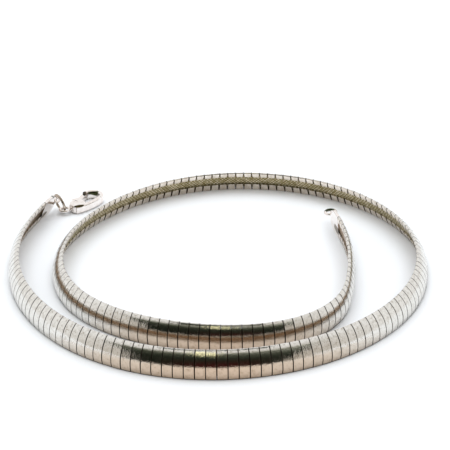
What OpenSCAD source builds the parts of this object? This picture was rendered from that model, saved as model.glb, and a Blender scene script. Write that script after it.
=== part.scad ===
// Omega necklace: domed metal plates crimped on a flat woven strip, with a
// smooth cap on each end, a jump ring and a lobster claw. It lies on a flat
// surface in an open spiral of a little over one and a half turns, standing
// on its lower edge and leaning inwards. +Z is up, +X is to the right and
// +Y is away from the viewer. The origin is below the middle of the spiral.

/* [Plates] */
// Number of plates in the chain
plate_count = 202; // [198:1:202]
// Distance from one plate to the next along the lower inner edge (mm)
plate_pitch = 2.15; // [2.15:0.01:2.2]
// Length of one plate along the chain (mm)
plate_length = 1.9; // [1.7:0.05:1.9]
// Width of the band, from its lower to its upper edge (mm)
band_width = 6; // [5.8:0.1:6.2]
// Full thickness of a plate from its back to the top of the dome (mm)
band_thickness = 1.4; // [1.35:0.05:1.6]
// Outer radius of the folded edges (mm)
fold_radius = 0.3; // [0.28:0.01:0.34]
// Thickness of the plates' sheet metal (mm)
sheet = 0.25; // [0.2:0.01:0.25]
// Height of the folded flap at the lower edge (mm)
lower_flap = 2.0; // [1.8:0.05:2.1]
// Height of the folded flap at the upper edge (mm)
upper_flap = 1.3; // [1.1:0.05:1.4]

/* [Woven strip] */
// Width of the woven strip (mm)
strip_width = 4.2; // [3.8:0.1:4.2]
// Thickness of the woven strip (mm)
strip_thickness = 0.26; // [0.2:0.01:0.26]

/* [End caps] */
// Length of each cap (mm)
cap_length = 6.5; // [6.0:0.1:6.8]
// Length of the full-width part of each cap (mm)
cap_straight = 2.6; // [2.4:0.1:3.0]
// Radius of the rounded shoulders of each cap (mm)
cap_shoulder = 5; // [4.8:0.1:5.4]
// Thickness of the wire of the soldered eyes (mm)
eye_wire = 0.7; // [0.6:0.05:0.75]
// Inner diameter of the clasp end's eye (mm)
clasp_eye_hole = 1.5; // [1.4:0.05:1.6]
// Inner diameter of the other end's eye (mm)
eye_hole = 1.8; // [1.7:0.05:1.9]
// Height of both eyes above the band's lower edge (mm)
eye_height = 3; // [2.95:0.05:3.05]

/* [Jump ring] */
// Diameter of the ring's wire (mm)
ring_wire = 0.65; // [0.55:0.05:0.65]
// Diameter of the ring measured to the middle of its wire (mm)
ring_diameter = 4.4; // [4.35:0.05:4.5]

/* [Claw] */
// Height of the claw's arm, lying flat (mm)
claw_height = 2.3; // [2.2:0.05:2.4]
// Width of the claw's arm seen from above (mm)
claw_arm = 1.2; // [1.1:0.05:1.3]
// Thickness of the lever (mm)
lever_thickness = 1.0; // [0.9:0.05:1.1]
// Diameter of the lever's pin (mm)
pin_diameter = 0.8; // [0.7:0.05:0.9]

/* [Hidden] */
$fn = 64;
eps = 0.01;

// The route. Turn to the left from one plate to the next, in degrees, at a
// few plates along the chain, read off the photograph.
turn_table = [
    [0, 1.9], [20, 2.15], [40, 2.95], [60, 2.5], [80, 2.6], [100, 3.0], [116, 3.25],
    [130, 2.45], [142, 3.0], [154, 3.8], [166, 2.45], [172, 3.6], [178, 5.35],
    [184, 5.95], [189, 0.95], [194, 1.35], [202, 1.8]];
// Lean of the band towards the inside of the spiral, in degrees.
lean_table = [
    [0, 23.5], [20, 20.7], [40, 19.5], [60, 20.5], [80, 23.3], [104, 24.3], [130, 23.7],
    [142, 22.5], [154, 18.3], [166, 13.7], [178, 8.4], [188, 6.9], [202, 5.7]];
// Heading of the first plate and where its lower inner edge starts.
start_heading = -108.5;
start_x = -45.58;
start_y = 2.84;
// Turn from the first and last plates to their caps, in degrees.
clasp_cap_turn = 3.3;
eye_cap_turn = 2.6;
eye_cap_lean = 5;

turns = [for (i = [0:plate_count - 1]) lookup(i + 0.5, turn_table)];
leans = [for (i = [0:plate_count - 1]) lookup(i + 0.5, lean_table)];
heads = [for (i = 0, h = start_heading; i <= plate_count;
              h = h + (i < plate_count ? turns[i] : 0), i = i + 1) h];
mids = [for (i = [0:plate_count - 1]) (heads[i] + heads[i + 1]) / 2];
xs = [for (i = 0, x = start_x; i <= plate_count;
           x = x + (i < plate_count ? plate_pitch * cos(mids[i]) : 0), i = i + 1) x];
ys = [for (i = 0, y = start_y; i <= plate_count;
           y = y + (i < plate_count ? plate_pitch * sin(mids[i]) : 0), i = i + 1) y];

// The dome is one arc that runs into the folded edges without a step.
dome_r = (pow(band_width / 2 - fold_radius, 2) + pow(band_thickness - fold_radius, 2)
          - pow(fold_radius, 2)) / (2 * (band_thickness - 2 * fold_radius));
dome_c = band_thickness - dome_r;
fold_dx = (fold_radius - dome_c) / (dome_r - fold_radius);
fold_dy = (fold_radius - band_width / 2) / (dome_r - fold_radius);

// Lift that sets the rounded lower edge of a leaning band on the surface.
function lift(lean) = fold_radius * (1 - sin(lean) - cos(lean));
// How far the dome of a leaning plate reaches outwards from the route.
function reach(lean) = dome_r + dome_c * cos(lean) - band_width / 2 * sin(lean);
outer_pts = [for (i = [0:plate_count - 1], k = [0.1, 2.05])
    [xs[i] + k * cos(mids[i]) + reach(leans[i]) * sin(mids[i]),
     ys[i] + k * sin(mids[i]) - reach(leans[i]) * cos(mids[i])]];
centre_x = (max([for (p = outer_pts) p[0]]) + min([for (p = outer_pts) p[0]])) / 2;
centre_y = (max([for (p = outer_pts) p[1]]) + min([for (p = outer_pts) p[1]])) / 2;

half_count = floor(plate_count / 2);
strip_back = sheet + 0.09;
strip_low = (band_width - strip_width) / 2;
strip_in_cap = 0.8;
clasp_cap_heading = mids[0] - clasp_cap_turn;
eye_cap_heading = mids[plate_count - 1] + eye_cap_turn;
cap_back = 0.1;
cap_gap = 0.15;
cap_extra = 0.1;
// The other end's eye is worn flat inside by this much.
eye_land = 0.05;
eye_m = 0.7;

// Claw, seen from above: the tail eye is its origin and +X runs to the nose.
claw_x = -39.7;
claw_y = 7.4;
claw_heading = 43;
tail_z = 1.2;
tail_r = 1.2;
tail_wire = 0.7;
nose_x = 9.25;
nose_y = 0.915;
nose_r = 2.4;
nose_end = 98;
hub_x = 3.5;
hub_y = -0.75;
hub_r = 2.15;
// The near arm runs from the hub into the nose without a kink.
near_r = 14.15;
near_end = -67.75;
near_x = nose_x - (near_r - nose_r) * cos(near_end);
near_y = nose_y - (near_r - nose_r) * sin(near_end);
near_start = -90 - asin((near_x - hub_x + 1.6) / near_r);
slot_height = lever_thickness + 0.2;
lever_z = (claw_height - lever_thickness) / 2;
pin_x = 3.6;
pin_y = 0.1;
pin_gap = 0.04;
// Radius of the lever's end round the pin.
pivot_r = 1.1;
// Hook and lever meet on an arc about the pin, with this gap between them.
tip_gap = 0.12;
hook_reach = norm([nose_x + nose_r * cos(nose_end) - pin_x,
                   nose_y + nose_r * sin(nose_end) - pin_y]);
lever_reach = hook_reach - tip_gap;
tip_in_x = nose_x + (nose_r - claw_arm / 2) * cos(nose_end - 7);
tip_in_y = nose_y + (nose_r - claw_arm / 2) * sin(nose_end - 7);
tip_out_x = nose_x + (nose_r + claw_arm / 2) * cos(nose_end + 5);
tip_out_y = nose_y + (nose_r + claw_arm / 2) * sin(nose_end + 5);
// Jump ring: its middle, and how its axis is turned and tipped.
ring_x = -40.9;
ring_y = 8.345;
ring_z = 2.56;
ring_tip = 77.4;
ring_turn = 35.2;

// Everything is moved so that the origin lies below the spiral's middle.
module placed() {
    translate([-centre_x, -centre_y, 0])
        children();
}

// Frame of the band at a point of the route: X along it, Y inwards, Z up it.
module on_band(x, y, heading, lean) {
    translate([x, y, lift(lean)])
        rotate([0, 0, heading])
            rotate([-lean, 0, 0])
                children();
}

// Runs a section along X. In the section, x is minus the distance outwards.
module along(length) {
    rotate([90, 0, 90])
        linear_extrude(length)
            children();
}

// Outline of the band's section: a dome with rounded lower and upper edges.
module band_outline(extra = 0) {
    top = band_width - fold_radius;
    for (v = [fold_radius, top])
        translate([-fold_radius, v])
            circle(fold_radius);
    intersection() {
        translate([-dome_c - extra, band_width / 2])
            circle(dome_r, $fn = 180);
        polygon([
            [0, fold_radius],
            [-fold_radius, fold_radius],
            [-fold_radius - fold_dx, fold_radius + fold_dy],
            [-3, 0],
            [-3, band_width],
            [-fold_radius - fold_dx, top - fold_dy],
            [-fold_radius, top],
            [0, top]]);
    }
}

// Section of one plate: the dome and the two flaps folded behind the strip.
module plate_section() {
    difference() {
        band_outline();
        intersection() {
            translate([-dome_c, band_width / 2])
                circle(dome_r - sheet, $fn = 180);
            translate([-3, fold_radius])
                square([3 - sheet, band_width - 2 * fold_radius]);
        }
        translate([-sheet - eps, lower_flap])
            square([sheet + 1, band_width - lower_flap - upper_flap]);
    }
}

module plate(i) {
    on_band(xs[i], ys[i], mids[i], leans[i])
        translate([(plate_pitch - plate_length) / 2, 0, 0])
            along(plate_length)
                plate_section();
}

module outer_plates() {
    color("silver")
        placed()
            for (i = [0:half_count - 1])
                plate(i);
}

module inner_plates() {
    color("silver")
        placed()
            for (i = [half_count:plate_count - 1])
                plate(i);
}

// Point of the band at distance a along it, m outwards and v up it.
function band_point(x, y, heading, lean, a, m, v) = [
    x + a * cos(heading) + (m * cos(lean) - v * sin(lean)) * sin(heading),
    y + a * sin(heading) - (m * cos(lean) - v * sin(lean)) * cos(heading),
    lift(lean) + m * sin(lean) + v * cos(lean)];
function strip_ring(x, y, heading, lean, a) = [
    for (c = [[0, 0], [1, 0], [1, 1], [0, 1]])
        band_point(x, y, heading, lean, a, strip_back + c[0] * strip_thickness,
                   strip_low + c[1] * strip_width)];
last = plate_count - 1;
strip_rings = concat(
    [strip_ring(xs[0], ys[0], clasp_cap_heading, leans[0], -strip_in_cap)],
    [strip_ring(xs[0], ys[0], mids[0] - clasp_cap_turn / 2, leans[0], 0)],
    [for (i = [1:last]) strip_ring(xs[i], ys[i], (mids[i - 1] + mids[i]) / 2,
                                   (leans[i - 1] + leans[i]) / 2, 0)],
    [strip_ring(xs[plate_count], ys[plate_count], mids[last] + eye_cap_turn / 2,
                leans[last], 0)],
    [strip_ring(xs[plate_count], ys[plate_count], eye_cap_heading, leans[last],
                strip_in_cap)]);
strip_n = len(strip_rings);

// The woven strip, one closed band from inside one cap to inside the other.
module mesh_strip() {
    color("darkkhaki")
        placed()
            polyhedron(
                points = [for (r = strip_rings) each r],
                faces = concat(
                    [[0, 1, 2], [0, 2, 3]],
                    [for (i = [0:strip_n - 2], k = [0:3])
                        [4 * i + k, 4 * i + 4 + k, 4 * i + (k + 1) % 4]],
                    [for (i = [0:strip_n - 2], k = [0:3])
                        [4 * i + 4 + k, 4 * i + 4 + (k + 1) % 4, 4 * i + (k + 1) % 4]],
                    [[4 * strip_n - 1, 4 * strip_n - 2, 4 * strip_n - 3],
                     [4 * strip_n - 1, 4 * strip_n - 3, 4 * strip_n - 4]]));
}

// Side outline of a cap: straight, then two shoulders that run to a blunt tip.
module cap_outline() {
    half = band_width / 2;
    translate([0, -1])
        square([cap_straight, band_width + 2]);
    intersection() {
        translate([cap_straight, half - (cap_shoulder - half) ])
            circle(cap_shoulder, $fn = 180);
        translate([cap_straight, half + (cap_shoulder - half)])
            circle(cap_shoulder, $fn = 180);
        translate([cap_straight - eps, 0])
            square([cap_length - cap_straight + eps, band_width]);
    }
}

// A smooth cap along +X with a pocket for the strip and a soldered eye.
module cap(hole, stem, land = 0) {
    eye_r = (hole + eye_wire) / 2;
    eye_x = cap_length + stem + eye_r;
    difference() {
        intersection() {
            along(cap_length)
                band_outline(cap_extra);
            rotate([90, 0, 0])
                translate([0, 0, -3])
                    linear_extrude(6)
                        cap_outline();
        }
        translate([-1, -strip_back - strip_thickness - 0.1, strip_low - 0.1])
            cube([2.1, strip_thickness + 0.2, strip_width + 0.2]);
    }
    difference() {
        translate([eye_x, -eye_m, eye_height])
            rotate_extrude($fn = 96)
                translate([eye_r, 0])
                    circle(eye_wire / 2 + land, $fn = 32);
        if (land > 0)
            translate([eye_x, -eye_m, eye_height - eye_wire])
                cylinder(h = 2 * eye_wire, r = hole / 2, $fn = 96);
    }
    translate([cap_length - 0.3, -eye_m, eye_height])
        rotate([0, 90, 0])
            cylinder(h = stem + 0.3, r = eye_wire / 2, $fn = 32);
}

module clasp_end_cap() {
    color("silver")
        placed()
            on_band(xs[0], ys[0], clasp_cap_heading, leans[0])
                mirror([1, 0, 0])
                    translate([cap_gap, 0, 0])
                        cap(clasp_eye_hole, 0);
}

module eye_end_cap() {
    color("silver")
        placed()
            on_band(xs[plate_count], ys[plate_count], eye_cap_heading, eye_cap_lean)
                translate([cap_gap, 0, 0])
                    cap(eye_hole, 1.1, eye_land);
}

module jump_ring() {
    color("silver")
        placed()
            translate([ring_x, ring_y, ring_z])
                rotate([0, ring_tip, ring_turn])
                    rotate_extrude($fn = 96)
                        translate([ring_diameter / 2, 0])
                            circle(ring_wire / 2, $fn = 32);
}

// Frame of the claw: it lies flat, its tail eye at the origin.
module on_claw() {
    translate([claw_x, claw_y, 0])
        rotate([0, 0, claw_heading])
            children();
}

// Section of the claw's arm: upright with rounded top and bottom, and a
// little less all round where an end is let into the next piece.
module arm_section(less = 0) {
    r = claw_arm / 2;
    translate([less - r, r])
        square([claw_arm - 2 * less, claw_height - claw_arm]);
    for (z = [r, claw_height - r])
        translate([0, z])
            circle(r - less, $fn = 48);
}

// Part of a ring with the arm's section, from one angle over a sweep.
module arm_arc(x, y, r, from, sweep, less = 0) {
    translate([x, y, 0])
        rotate([0, 0, from])
            rotate_extrude(angle = sweep, $fn = 144)
                translate([r, 0])
                    arm_section(less);
}

module claw_body() {
    r = claw_arm / 2;
    color("silver")
        placed()
            on_claw()
                difference() {
                    union() {
                        // Tail eye
                        translate([0, 0, tail_z])
                            rotate_extrude($fn = 96)
                                translate([tail_r, 0])
                                    circle(tail_wire / 2, $fn = 32);
                        // Hub with rounded rims, which holds the lever's pin
                        translate([hub_x, hub_y, 0])
                            rotate_extrude($fn = 96) {
                                square([hub_r - r, claw_height]);
                                translate([hub_r - r, 0])
                                    intersection() {
                                        arm_section();
                                        square([r, claw_height]);
                                    }
                            }
                        // Near arm, and the nose that curls round to the hook's tip
                        arm_arc(near_x, near_y, near_r, near_start, near_end - near_start,
                                0.04);
                        arm_arc(nose_x, nose_y, nose_r, near_end - 6,
                                nose_end + 14 - near_end + 6);
                    }
                    // The hook's tip is hollowed to the arc of the lever's end
                    intersection() {
                        translate([pin_x, pin_y, -1])
                            cylinder(h = claw_height + 2, r = hook_reach, $fn = 180);
                        translate([nose_x - 3, nose_y + 1.1, -2])
                            cube([3.5, 4, claw_height + 4]);
                    }
                    // Slot for the lever
                    translate([pin_x - 1.5, pin_y - 1.35, (claw_height - slot_height) / 2])
                        cube([3.9, 6, slot_height]);
                    translate([pin_x, pin_y, -1])
                        cylinder(h = claw_height + 2, r = pin_diameter / 2 + pin_gap);
                }
}

module claw_lever() {
    color("silver")
        placed()
            on_claw()
                translate([0, 0, lever_z])
                    difference() {
                        linear_extrude(lever_thickness)
                            intersection() {
                                union() {
                                    translate([pin_x, pin_y])
                                        circle(pivot_r, $fn = 96);
                                    polygon([
                                        [pin_x - 0.55 * pivot_r, pin_y + 0.8 * pivot_r],
                                        [pin_x + 0.35 * pivot_r, pin_y - 0.9 * pivot_r],
                                        [pin_x + 1.5, pin_y + 0.2],
                                        [pin_x + 2.8, pin_y + 1.15],
                                        [tip_in_x, tip_in_y],
                                        [tip_out_x, tip_out_y],
                                        [pin_x + 2.7, pin_y + 2.5],
                                        [pin_x + 2.0, pin_y + 2.6],
                                        [pin_x + 1.3, pin_y + 2.95],
                                        [pin_x + 0.7, pin_y + 2.6],
                                        [pin_x + 0.2, pin_y + 1.7]]);
                                }
                                translate([pin_x, pin_y])
                                    circle(lever_reach, $fn = 180);
                            }
                        translate([pin_x, pin_y, -1])
                            cylinder(h = lever_thickness + 2, r = pin_diameter / 2 + pin_gap);
                    }
}

module lever_pin() {
    color("silver")
        placed()
            on_claw()
                translate([pin_x, pin_y, 0.05])
                    cylinder(h = claw_height - 0.1, r = pin_diameter / 2);
}

outer_plates();
inner_plates();
mesh_strip();
clasp_end_cap();
eye_end_cap();
jump_ring();
claw_body();
claw_lever();
lever_pin();
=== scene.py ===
import bpy
import bmesh
import math
import random
from mathutils import Matrix, Vector


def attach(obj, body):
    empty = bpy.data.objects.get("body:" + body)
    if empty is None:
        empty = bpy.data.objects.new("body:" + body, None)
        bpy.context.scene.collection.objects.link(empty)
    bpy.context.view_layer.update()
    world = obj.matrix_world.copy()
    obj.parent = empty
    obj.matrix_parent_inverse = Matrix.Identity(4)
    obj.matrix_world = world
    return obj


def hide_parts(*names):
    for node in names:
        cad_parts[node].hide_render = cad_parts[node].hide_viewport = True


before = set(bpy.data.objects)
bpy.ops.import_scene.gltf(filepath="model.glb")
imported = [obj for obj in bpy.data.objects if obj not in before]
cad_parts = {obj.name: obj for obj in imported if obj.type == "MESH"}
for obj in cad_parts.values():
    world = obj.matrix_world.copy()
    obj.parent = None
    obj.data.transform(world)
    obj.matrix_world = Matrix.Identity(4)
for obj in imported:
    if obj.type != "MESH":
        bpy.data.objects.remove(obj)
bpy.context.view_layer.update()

# Woven strip. A flat band of fine woven silver wire, as long as the collar, that
# carries the pull and bends sideways only. Every plate is crimped on it and its
# ends are held in the caps. It shows on the inner side, between the flaps.
PITCH = 2.15
COUNT = 202
FOLD = 0.3
STRIP_LOW = 0.9
STRIP_WIDTH = 4.2
STRIP_BACK = 0.34
STRIP_THICK = 0.26
STRIP_IN_CAP = 0.8
BACK_MIDDLE = 245.0
TURN = [
    (0, 1.9), (20, 2.15), (40, 2.95), (60, 2.5), (80, 2.6), (100, 3.0), (116, 3.25),
    (130, 2.45), (142, 3.0), (154, 3.8), (166, 2.45), (172, 3.6), (178, 5.35),
    (184, 5.95), (189, 0.95), (194, 1.35), (202, 1.8)]
LEAN = [
    (0, 23.5), (20, 20.7), (40, 19.5), (60, 20.5), (80, 23.3), (104, 24.3), (130, 23.7),
    (142, 22.5), (154, 18.3), (166, 13.7), (178, 8.4), (188, 6.9), (202, 5.7)]
START_HEADING = -108.5
START_X = -45.58
START_Y = 2.84
CENTRE_X = 1.922
CENTRE_Y = 24.268
CLASP_CAP_TURN = 3.3
EYE_CAP_TURN = 2.6
EYE_CAP_LEAN = 5


def between(table, at):
    for (a, low), (b, high) in zip(table, table[1:]):
        if at <= b:
            return low + (high - low) * (at - a) / (b - a)
    return table[-1][1]


# A place on the route: it turns a plate to its heading, leans it inwards and
# lifts it until its rounded lower edge rests on the surface.
def seat_on_route(x, y, heading, lean):
    lift = FOLD * (1 - math.sin(math.radians(lean)) - math.cos(math.radians(lean)))
    return (Matrix.Translation((x + CENTRE_X, y + CENTRE_Y, lift))
            @ Matrix.Rotation(math.radians(heading), 4, "Z")
            @ Matrix.Rotation(math.radians(-lean), 4, "X"))


heading, x, y = START_HEADING, START_X, START_Y
stops = []
for i in range(COUNT):
    turn = between(TURN, i + 0.5)
    middle = heading + turn / 2
    stops.append((x, y, middle, between(LEAN, i + 0.5), turn))
    x += PITCH * math.cos(math.radians(middle))
    y += PITCH * math.sin(math.radians(middle))
    heading += turn
route_end = (x, y)
clasp_seat = seat_on_route(stops[0][0], stops[0][1], stops[0][2] - CLASP_CAP_TURN, stops[0][3])
eye_seat = seat_on_route(x, y, stops[-1][2] + EYE_CAP_TURN, EYE_CAP_LEAN)


def only(piece):
    bpy.ops.object.select_all(action="DESELECT")
    piece.select_set(True)
    bpy.context.view_layer.objects.active = piece


def edit(piece, kind="VERT"):
    only(piece)
    bpy.ops.object.mode_set(mode="EDIT")
    bpy.ops.mesh.select_mode(type=kind)
    bpy.ops.mesh.select_all(action="DESELECT")
    return bmesh.from_edit_mesh(piece.data)


def done():
    bpy.ops.object.mode_set(mode="OBJECT")


def to_metres(piece, body):
    only(piece)
    piece.data.transform(Matrix.Scale(0.001, 4))
    piece.data.update()
    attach(piece, body)


bpy.ops.object.select_all(action="DESELECT")
bpy.ops.mesh.primitive_grid_add(x_subdivisions=COUNT + 2, y_subdivisions=6, size=2)
strip = bpy.context.object
strip.name = "woven_wire_strip"
edit(strip)
bpy.ops.mesh.select_all(action="SELECT")
bpy.ops.mesh.extrude_region_move(TRANSFORM_OT_translate={"value": (0, 0, 1)})
bpy.ops.mesh.select_all(action="SELECT")
bpy.ops.mesh.normals_make_consistent(inside=False)
done()
laid = strip.data.attributes.new("laid", "FLOAT_VECTOR", "POINT")
for v in strip.data.vertices:
    k = round((v.co.x + 1) / 2 * (COUNT + 2))
    up = STRIP_LOW + STRIP_WIDTH * (v.co.y + 1) / 2
    out = STRIP_BACK + STRIP_THICK * v.co.z
    if k == 0:
        spot = clasp_seat @ Vector((-STRIP_IN_CAP, -out, up))
        along = -STRIP_IN_CAP
    elif k == COUNT + 2:
        spot = eye_seat @ Vector((STRIP_IN_CAP, -out, up))
        along = COUNT * PITCH + STRIP_IN_CAP
    else:
        i = min(k - 1, COUNT - 1)
        j = max(k - 2, 0)
        here = stops[i][:2] if k <= COUNT else route_end
        middle = (stops[j][2] + stops[i][2]) / 2
        lean = (stops[j][3] + stops[i][3]) / 2
        spot = seat_on_route(*here, middle, lean) @ Vector((0, -out, up))
        along = (k - 1) * PITCH
    laid.data[v.index].vector = (along, up, out)
    v.co = spot
to_metres(strip, "collar")
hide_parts("mesh_strip")


def colour(code):
    c = [int(code[i:i + 2], 16) / 255 for i in (0, 2, 4)]
    return [v / 12.92 if v <= 0.04045 else ((v + 0.055) / 1.055) ** 2.4 for v in c] + [1]


def finish_of(name, base, metallic, rough):
    m = bpy.data.materials.new(name)
    m.use_nodes = True
    shader = m.node_tree.nodes["Principled BSDF"]
    shader.inputs["Base Color"].default_value = colour(base)
    shader.inputs["Metallic"].default_value = metallic
    shader.inputs["Roughness"].default_value = rough
    return m, shader


def add(m, kind, inputs=(), **settings):
    n = m.node_tree.nodes.new("ShaderNode" + kind)
    for key, value in settings.items():
        setattr(n, key, value)
    for key, value in dict(inputs).items():
        if isinstance(value, bpy.types.NodeSocket):
            m.node_tree.links.new(value, n.inputs[key])
        else:
            n.inputs[key].default_value = value
    return n


def ramp(m, fac, stops_of):
    n = add(m, "ValToRGB", {"Fac": fac})
    e = n.color_ramp.elements
    while len(e) < len(stops_of):
        e.new(0.5)
    for element, (at, value) in zip(e, stops_of):
        element.position = at
        element.color = colour(value) if isinstance(value, str) else (value, value, value, 1)
    return n.outputs["Color"]


def join(m, output, shader, name):
    m.node_tree.links.new(output, shader.inputs[name])


def mix(m, share, base, hue):
    n = add(m, "Mix", {0: share, 6: base}, data_type="RGBA")
    n.inputs[7].default_value = colour(hue)
    return n.outputs[2]


def fade(m, value, start, end, first, last):
    return add(m, "MapRange", {"Value": value, "From Min": start, "From Max": end,
                               "To Min": first, "To Max": last}).outputs[0]


def bumps(m, shader, height, strength, depth):
    n = add(m, "Bump", {"Height": height, "Strength": strength, "Distance": depth})
    join(m, n.outputs["Normal"], shader, "Normal")


# Woven silver wire in a slanting weave that crosses itself, dulled and yellowed
# between the wires where it can't be polished, redder away from the collar's back
# and darker brown over its first few millimetres at the clasp cap.
woven, shader = finish_of("woven_silver_wire", "9C937A", 1, 0.42)
laid_at = add(woven, "Attribute", attribute_name="laid").outputs["Vector"]
weft = add(woven, "TexWave", {"Vector": laid_at, "Scale": 0.7, "Distortion": 0.8},
           wave_type="BANDS", bands_direction="DIAGONAL", wave_profile="SIN").outputs["Fac"]
turned = add(woven, "Mapping", {"Vector": laid_at, "Scale": (1, -1, 1)}).outputs["Vector"]
warp = add(woven, "TexWave", {"Vector": turned, "Scale": 0.7, "Distortion": 0.8},
           wave_type="BANDS", bands_direction="DIAGONAL", wave_profile="SIN").outputs["Fac"]
weave = add(woven, "Math", {0: weft, 1: warp}, operation="MULTIPLY").outputs[0]
wires = ramp(woven, weave, [(0.0, "A09270"), (0.3, "D6C9A6"), (1.0, "FBF4E6")])
blotch = add(woven, "TexNoise", {"Vector": laid_at, "Scale": 1.4, "Detail": 3.0}).outputs["Fac"]
blotches = ramp(woven, blotch, [(0.38, "C4C0A4"), (0.62, "FFFFFF")])
blotched = add(woven, "Mix", {0: 1.0, 6: wires, 7: blotches},
               data_type="RGBA", blend_type="MULTIPLY").outputs[2]
along_it = add(woven, "SeparateXYZ", {0: laid_at}).outputs["X"]
past_middle = add(woven, "Math", {0: along_it, 1: BACK_MIDDLE}, operation="SUBTRACT").outputs[0]
off_back = add(woven, "Math", {0: past_middle}, operation="ABSOLUTE").outputs[0]
reddened = mix(woven, fade(woven, off_back, 55.0, 80.0, 0.0, 0.55), blotched, "946C5C")
browned_near_clasp = mix(woven, fade(woven, along_it, 3.0, 8.0, 0.85, 0.0), reddened, "5A4420")
join(woven, browned_near_clasp, shader, "Base Color")
bumps(woven, shader, weave, 0.6, 0.0001)
strip.data.materials.append(woven)

# Plates. Each is a small sheet of silver pressed to a shallow dome, its lower and
# upper edges folded round behind the strip and crimped on it as two flaps, the
# lower one wider. They stand a hair apart, so that the collar bends.
GAP = 0.04
LENGTH = PITCH - GAP
WIDTH = 6.0
THICK = 1.4
SHEET = 0.25
LOWER_FLAP = 2.0
UPPER_FLAP = 1.3
DRAWN_IN = 0.9
NEAR_EDGE = 0.1
FOOT = 0.24
dome_r = ((WIDTH / 2 - FOLD) ** 2 + (THICK - FOLD) ** 2 - FOLD ** 2) / (2 * (THICK - 2 * FOLD))
dome_c = THICK - dome_r
dome_half = math.degrees(math.asin((WIDTH / 2 - FOLD) / (dome_r - FOLD)))

bpy.ops.object.select_all(action="DESELECT")
bpy.ops.mesh.primitive_plane_add(size=1)
plate = bpy.context.object
plate.name = "plate"
for v in plate.data.vertices:
    v.co = (PITCH / 2 + v.co.x * LENGTH, 0, LOWER_FLAP if v.co.y > 0 else FOLD)
bm = edit(plate, "EDGE")
for e in bm.edges:
    e.select_set(all(abs(v.co.z - FOLD) < 1e-4 for v in e.verts))
bmesh.update_edit_mesh(plate.data)
fold_by = math.radians(90 + (90 - dome_half))
dome_by = math.radians(2 * dome_half)
for turn_by, steps, centre in ((fold_by, 3, (0, -FOLD, FOLD)),
                               (dome_by, 6, (0, -dome_c, WIDTH / 2)),
                               (fold_by, 3, (0, -FOLD, WIDTH - FOLD))):
    bpy.ops.mesh.spin(steps=steps, angle=turn_by, center=centre, axis=(1, 0, 0))
bpy.ops.mesh.extrude_region_move(TRANSFORM_OT_translate={"value": (0, 0, -(UPPER_FLAP - FOLD))})
bpy.ops.mesh.select_all(action="SELECT")
bpy.ops.mesh.remove_doubles(threshold=0.001)
bpy.ops.mesh.normals_make_consistent(inside=False)
done()

shell = plate.modifiers.new("thickness", "SOLIDIFY")
shell.thickness = SHEET
shell.offset = -1
only(plate)
bpy.ops.object.modifier_apply(modifier=shell.name)
bpy.ops.object.shade_smooth_by_angle(angle=math.radians(50))

across = plate.data.attributes.new("across", "FLOAT", "POINT")
sides = []
for v in plate.data.vertices:
    side = 1 if v.co.x > PITCH / 2 else -1
    across.data[v.index].value = side
    on_flap = v.co.y > -SHEET - 0.01
    free_end = on_flap and LOWER_FLAP - NEAR_EDGE < v.co.z < WIDTH - UPPER_FLAP + NEAR_EDGE
    sides.append(side * DRAWN_IN if free_end else side)
cut_ends = [p.index for p in plate.data.polygons if abs(p.normal.x) > 0.9]


# Painted shade at the two ends of a plate: the colour darkens there, so that the gaps between
# the plates read dark.
def dark_edged(m, shader, base, rough, uneven, start, hue):
    side = add(m, "Attribute", attribute_name="across").outputs["Fac"]
    off = add(m, "Math", {0: side}, operation="ABSOLUTE").outputs[0]
    off = add(m, "Math", {0: uneven, 1: 0.08, 2: off}, operation="MULTIPLY_ADD").outputs[0]
    edge = add(m, "MapRange", {"Value": off, "From Min": start,
                               "From Max": start + 0.02}).outputs[0]
    join(m, mix(m, edge, base, hue), shader, "Base Color")
    dull = add(m, "Mix", {0: edge, 2: rough, 3: 0.5}, data_type="FLOAT")
    join(m, dull.outputs[0], shader, "Roughness")


# Polished sterling silver with the fine scratches and the faint waviness of a
# collar that has been worn, on the domes and the folds.
silver, shader = finish_of("polished_silver", "D6D2CB", 1, 0.09)
spot = add(silver, "TexCoord").outputs["Object"]
fine = add(silver, "TexNoise", {"Vector": spot, "Scale": 5200.0, "Detail": 2.0}).outputs["Fac"]
marks = add(silver, "TexNoise", {"Vector": spot, "Scale": 1500.0, "Detail": 3.0,
                                 "Roughness": 0.7}).outputs["Fac"]
grey = ramp(silver, marks, [(0.3, "C3BDB4"), (0.45, "DEDBD5"), (0.7, "E8E6E1")])
rough = ramp(silver, marks, [(0.3, 0.22), (0.5, 0.1), (0.75, 0.05)])
# Painted shade: near black at the plate's two ends, for the dark gaps between plates.
dark_edged(silver, shader, grey, rough, marks, 0.945, "2B241C")
scuffs = add(silver, "Math", {0: fine, 1: 0.35, 2: marks}, operation="MULTIPLY_ADD").outputs[0]
bumps(silver, shader, scuffs, 0.5, 0.00006)

# Cut ends of the plates and their lowest fold: painted shade, grey-brown to near black,
# for the dark gaps between the plates and the dark line where the collar meets the card.
cut_end_shade, shader = finish_of("shade_painted_cut_silver", "3A332A", 1, 0.45)
spot = add(cut_end_shade, "TexCoord").outputs["Object"]
specks = add(cut_end_shade, "TexNoise", {"Vector": spot, "Scale": 2500.0}).outputs["Fac"]
join(cut_end_shade, ramp(cut_end_shade, specks, [(0.3, "241E18"), (0.7, "4C4438")]), shader, "Base Color")

# The flaps on the inner side, against the neck: duller silver, warm and cloudy.
inside, shader = finish_of("dull_inside_silver", "B5A893", 1, 0.22)
spot = add(inside, "TexCoord").outputs["Object"]
cloud = add(inside, "TexNoise", {"Vector": spot, "Scale": 700.0, "Detail": 4.0}).outputs["Fac"]
# Painted shade: brown at the flaps' ends, for the dark gaps between the tabs.
dark_edged(inside, shader, ramp(inside, cloud, [(0.3, "D4C8BA"), (0.7, "F6EEE4")]),
           ramp(inside, cloud, [(0.3, 0.26), (0.7, 0.18)]), cloud, 0.89, "4F4330")

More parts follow.
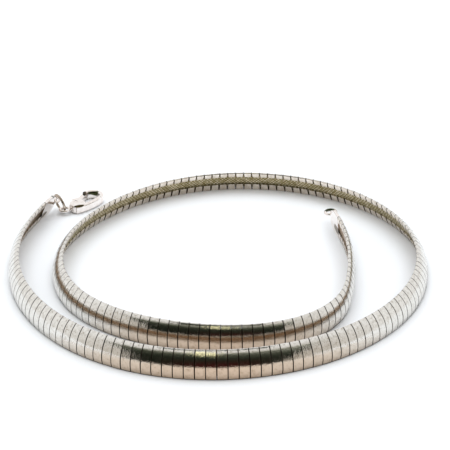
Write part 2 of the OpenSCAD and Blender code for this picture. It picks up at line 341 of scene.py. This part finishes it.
plate.data.materials.append(silver)
plate.data.materials.append(cut_end_shade)
plate.data.materials.append(inside)
# The cut ends and the lowest fold take the painted shade.
for k in cut_ends:
    plate.data.polygons[k].material_index = 1
for p in plate.data.polygons:
    if p.material_index == 0 and p.normal.y > 0.9:
        p.material_index = 2
    elif p.center.z < FOOT:
        p.material_index = 1

# Each copy is cut to a wedge, so that it meets its neighbours where the chain
# turns, and rocks on the strip by a fraction of a degree.
play = random.Random(7)
for piece_name, node, first, last in (("outer_turn_plates", "outer_plates", 0, 101),
                                      ("inner_turn_plates", "inner_plates", 101, 202)):
    copies = []
    for px, py, middle, lean, turn in stops[first:last]:
        copy = bpy.data.objects.new("plate_copy", plate.data.copy())
        bpy.context.collection.objects.link(copy)
        slope = math.radians(lean)
        for v, side in zip(copy.data.vertices, sides):
            inwards = v.co.y * math.cos(slope) + v.co.z * math.sin(slope)
            v.co.x = PITCH / 2 + side / 2 * (LENGTH - inwards * math.radians(turn))
        pivot = Vector((PITCH / 2, 0, WIDTH / 2))
        swing = Matrix.Rotation(math.radians(play.gauss(0, 0.35)), 4, "Z")
        tip = Matrix.Rotation(math.radians(play.gauss(0, 0.25)), 4, "X")
        rock = Matrix.Translation(pivot) @ swing @ tip @ Matrix.Translation(-pivot)
        copy.data.transform(seat_on_route(px, py, middle, lean) @ rock)
        copies.append(copy)
    bpy.ops.object.select_all(action="DESELECT")
    for copy in copies:
        copy.select_set(True)
    bpy.context.view_layer.objects.active = copies[0]
    bpy.ops.object.join()
    band = bpy.context.object
    band.name = piece_name
    to_metres(band, "collar")
    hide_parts(node)
bpy.data.objects.remove(plate)

# Caps and claw. Cast silver, polished bright: a cap with a soldered eye on each end
# of the strip, and a lobster claw whose sprung lever turns on a riveted pin. Dark
# patches of painted reflection and painted shade lie in their colour: on the caps'
# backs, round the eyes, inside the hook and on one arm.

# Each patch of painted dark reflection and shade: its place, its turn, its half length, width
# and height, and its hue.
PAINTED_REFLECTION_AND_SHADE = [
    (-42.6, 27.9, 1.5, -110.9, 2.2, 0.5, 0.95, "57400F"),
    (28.3, 16.9, 1.9, 101.0, 2.9, 0.5, 1.1, "57400F"),
    (27.0, 25.3, 3.4, 0.0, 1.8, 1.0, 0.5, "3E4432"),
    (-40.6, 30.6, 5.2, 0.0, 0.9, 0.9, 0.5, "3E4432"),
    (-31.0, 40.2, 1.7, 0.0, 2.1, 0.6, 0.7, "44482F"),
    (-34.3, 31.6, 2.1, 22.0, 1.8, 0.5, 0.35, "4A4028")]
bright, shader = finish_of("bright_polished_silver", "F4F2EE", 1, 0.1)
spot = add(bright, "TexCoord").outputs["Object"]
wear = add(bright, "TexNoise", {"Vector": spot, "Scale": 900.0, "Detail": 2.0}).outputs["Fac"]
join(bright, ramp(bright, wear, [(0.35, 0.16), (0.65, 0.07)]), shader, "Roughness")
scratches = add(bright, "TexNoise", {"Vector": spot, "Scale": 4200.0,
                                     "Detail": 2.0}).outputs["Fac"]
bumps(bright, shader, scratches, 0.25, 0.00003)
base = ramp(bright, wear, [(0.3, "EDE4DE"), (0.6, "F5EFEB")])
# Paint each patch of dark reflection and shade into the silver's colour, its edge broken by the
# noise.
for px, py, pz, turned_by, long, wide, high, hue in PAINTED_REFLECTION_AND_SHADE:
    local = add(bright, "Mapping", {"Vector": spot,
                                    "Location": (px / 1000, py / 1000, pz / 1000),
                                    "Rotation": (0, 0, math.radians(turned_by)),
                                    "Scale": (long / 1000, wide / 1000, high / 1000)},
                vector_type="TEXTURE").outputs[0]
    away = add(bright, "VectorMath", {0: local}, operation="LENGTH").outputs["Value"]
    away = add(bright, "Math", {0: wear, 1: 0.5, 2: away}, operation="MULTIPLY_ADD").outputs[0]
    base = mix(bright, fade(bright, away, 1.0, 1.3, 1.0, 0.0), base, hue)
join(bright, base, shader, "Base Color")
for name in ("clasp_end_cap", "eye_end_cap", "claw_body", "claw_lever", "lever_pin"):
    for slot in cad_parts[name].material_slots:
        slot.material = bright

# Jump ring. Round silver wire bent to a ring and closed through the cap's eye and
# the claw's tail; its colour is painted shade, greyer and darker than theirs, for the shadow
# round the ring.
shaded_ring, shader = finish_of("shade_painted_ring_silver", "BBAEA0", 1, 0.2)
spot = add(shaded_ring, "TexCoord").outputs["Object"]
ring_mottle = add(shaded_ring, "TexNoise", {"Vector": spot, "Scale": 1300.0, "Detail": 3.0}).outputs["Fac"]
# Painted shade: the ring's colour is kept grey-brown.
join(shaded_ring, ramp(shaded_ring, ring_mottle, [(0.35, "9C8E80"), (0.6, "C6BAAD")]), shader, "Base Color")
join(shaded_ring, ramp(shaded_ring, ring_mottle, [(0.35, 0.32), (0.65, 0.14)]), shader, "Roughness")
bumps(shaded_ring, shader, ring_mottle, 0.25, 0.00003)
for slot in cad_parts["jump_ring"].material_slots:
    slot.material = shaded_ring

# Surface. A matt white card, much larger than the view, that the collar lies on.
# It isn't part of the object.
bpy.ops.object.select_all(action="DESELECT")
bpy.ops.mesh.primitive_plane_add(size=4, location=(0, 0.5, 0))
floor = bpy.context.object
floor.name = "floor"
white, shader = finish_of("white_card", "F1F4F8", 0, 0.6)
floor.data.materials.append(white)


def reflected_only(card):
    card.visible_camera = False
    card.visible_diffuse = False
    card.visible_shadow = False


# Dark card that curves up behind and over the camera, blackest and reddest at its
# foot. The domes show it as the dark band along the near turns.
CARD_Y = -0.32
CURL_Y = -0.08
CURL_Z = 0.05
bpy.ops.object.select_all(action="DESELECT")
bpy.ops.mesh.primitive_plane_add(size=1)
card = bpy.context.object
card.name = "dark_card"
for v in card.data.vertices:
    v.co = (v.co.x, CARD_Y, 0.0 if v.co.y < 0 else CURL_Z)
bm = edit(card, "EDGE")
for e in bm.edges:
    e.select_set(all(v.co.z > 0.04 for v in e.verts))
bmesh.update_edit_mesh(card.data)
bpy.ops.mesh.spin(steps=16, angle=math.radians(77), center=(0, CURL_Y, CURL_Z), axis=(1, 0, 0))
done()
for v in card.data.vertices:
    v.co.x = -0.335 if v.co.x < 0 else 0.2 + 0.5 * min(v.co.z, 0.18)
dark, shader = finish_of("dark_card", "000000", 0, 1.0)
shader.inputs["Specular IOR Level"].default_value = 0
where = add(dark, "SeparateXYZ", {0: add(dark, "TexCoord").outputs["Object"]})
back = add(dark, "MapRange", {"Value": where.outputs["Y"], "From Min": CARD_Y,
                              "From Max": -0.055}).outputs[0]
height = add(dark, "Math", {0: where.outputs["Z"], 1: 0.65, 2: back},
             operation="MULTIPLY_ADD").outputs[0]
tilted = add(dark, "Math", {0: where.outputs["X"], 1: 0.45, 2: height},
             operation="MULTIPLY_ADD").outputs[0]
tone = ramp(dark, tilted, [(0.0, "1B1E16"), (0.25, "22261D"), (0.5, "4B4E42"),
                           (0.72, "8E8F83"), (0.95, "E2E0D6")])
off_middle = add(dark, "Math", {0: where.outputs["X"]}, operation="ABSOLUTE").outputs[0]
near_middle = fade(dark, off_middle, 0.05, 0.16, 1.0, 0.0)
low = fade(dark, where.outputs["Z"], 0.05, 0.17, 1.0, 0.0)
red = add(dark, "Math", {0: near_middle, 1: low}, operation="MULTIPLY").outputs[0]
# Painted reflection: the card glows with this colour with no lamp lighting it, and only
# reflections in the silver show it.
join(dark, mix(dark, red, tone, "3A1512"), shader, "Emission Color")
shader.inputs["Emission Strength"].default_value = 1.0
card.data.materials.append(dark)
reflected_only(card)


def evenly_lit(name, hue, strength):
    m, shader = finish_of(name, "000000", 0, 1.0)
    shader.inputs["Specular IOR Level"].default_value = 0
    shader.inputs["Emission Color"].default_value = colour(hue)
    shader.inputs["Emission Strength"].default_value = strength
    return m


# Pale lamp glow in front of that card, which makes the yellowish light spot in the
# middle of the dark band.
bpy.ops.object.select_all(action="DESELECT")
bpy.ops.mesh.primitive_grid_add(x_subdivisions=2, y_subdivisions=2, size=1)
glow = bpy.context.object
glow.name = "pale_glow"
for v in glow.data.vertices:
    v.co = (v.co.x * 0.026 - 0.025, -0.155 + v.co.y * 0.14, 0.245 + v.co.y * 0.05)
glow.data.materials.append(evenly_lit("pale_glow", "F0EBB8", 1.7))
reflected_only(glow)

# Narrow dark card close over the inner turn, which is seen only as a reflection in
# the silver below it.
bpy.ops.object.select_all(action="DESELECT")
bpy.ops.mesh.primitive_grid_add(x_subdivisions=2, y_subdivisions=2, size=1)
over = bpy.context.object
over.name = "overhead_card"
for v in over.data.vertices:
    v.co = (v.co.x * 0.034, -0.0395 + v.co.y * 0.009, 0.03)
over.data.materials.append(evenly_lit("overhead_card", "3A3E34", 1.0))
reflected_only(over)

# Beige sheet on the table before the collar, which warms the lower half of the
# domes and fades out to both sides.
bpy.ops.object.select_all(action="DESELECT")
bpy.ops.mesh.primitive_grid_add(x_subdivisions=2, y_subdivisions=2, size=1)
sheet = bpy.context.object
sheet.name = "beige_sheet"
for v in sheet.data.vertices:
    v.co = (v.co.x * 2, -0.52 + v.co.y, 0.00002)
beige, shader = finish_of("beige_sheet", "C8B29E", 0, 1.0)
shader.inputs["Specular IOR Level"].default_value = 0
where = add(beige, "SeparateXYZ", {0: add(beige, "TexCoord").outputs["Object"]})
off = add(beige, "Math", {0: where.outputs["X"]}, operation="ABSOLUTE").outputs[0]
ahead = add(beige, "Math", {0: where.outputs["Y"], 1: -1.0}, operation="MULTIPLY").outputs[0]
apart = add(beige, "Math", {0: off, 1: ahead}, operation="DIVIDE").outputs[0]
warmth = ramp(beige, apart, [(0.1, "D5C1B0"), (0.5, "D5C8BC"), (1.0, "D8CFC6")])
join(beige, warmth, shader, "Base Color")
sidewards = add(beige, "Math", {0: apart, 1: 0.7}, operation="MULTIPLY").outputs[0]
join(beige, ramp(beige, sidewards, [(0.4, 1.0), (0.95, 0.0)]), shader, "Alpha")
sheet.data.materials.append(beige)
reflected_only(sheet)

# Studio light. A white room that is a warm grey on the camera's side, and one
# large softbox straight overhead that leaves no highlight of its own.
world = bpy.data.worlds.new("studio")
bpy.context.scene.world = world
world.use_nodes = True
facing = add(world, "TexCoord").outputs["Generated"]
split = add(world, "SeparateXYZ", {0: facing}).outputs["Y"]
depth = add(world, "Math", {0: split, 1: 0.5, 2: 0.5}, operation="MULTIPLY_ADD").outputs[0]
room = world.node_tree.nodes["Background"]
join(world, ramp(world, depth, [(0.1, "C0B6A8"), (0.56, "FFFFFF")]), room, "Color")
room.inputs["Strength"].default_value = 1.0
bpy.context.scene.view_settings.view_transform = "Standard"
soft_data = bpy.data.lights.new("softbox", "AREA")
soft_data.size = 1.6
soft_data.energy = 10.8
soft_data.color = (0.93, 0.97, 1.0)
softbox = bpy.data.objects.new("softbox", soft_data)
bpy.context.collection.objects.link(softbox)
softbox.location = (0, 0.1, 1.2)
softbox.visible_glossy = False

# Camera, as in the photograph: a long lens 0.29 m from the collar, looking down
# on it by 25 degrees.
camera_data = bpy.data.cameras.new("camera")
camera = bpy.data.objects.new("camera", camera_data)
bpy.context.collection.objects.link(camera)
camera_data.lens = 103.74
camera_data.sensor_width = 36
camera_data.clip_start = 0.01
camera.location = (0.001922, -0.26053, 0.13517)
camera.rotation_euler = (Matrix.Rotation(math.radians(64.61), 3, "X")
                         @ Matrix.Rotation(math.radians(-0.614), 3, "Z")).to_euler()
bpy.context.scene.camera = camera
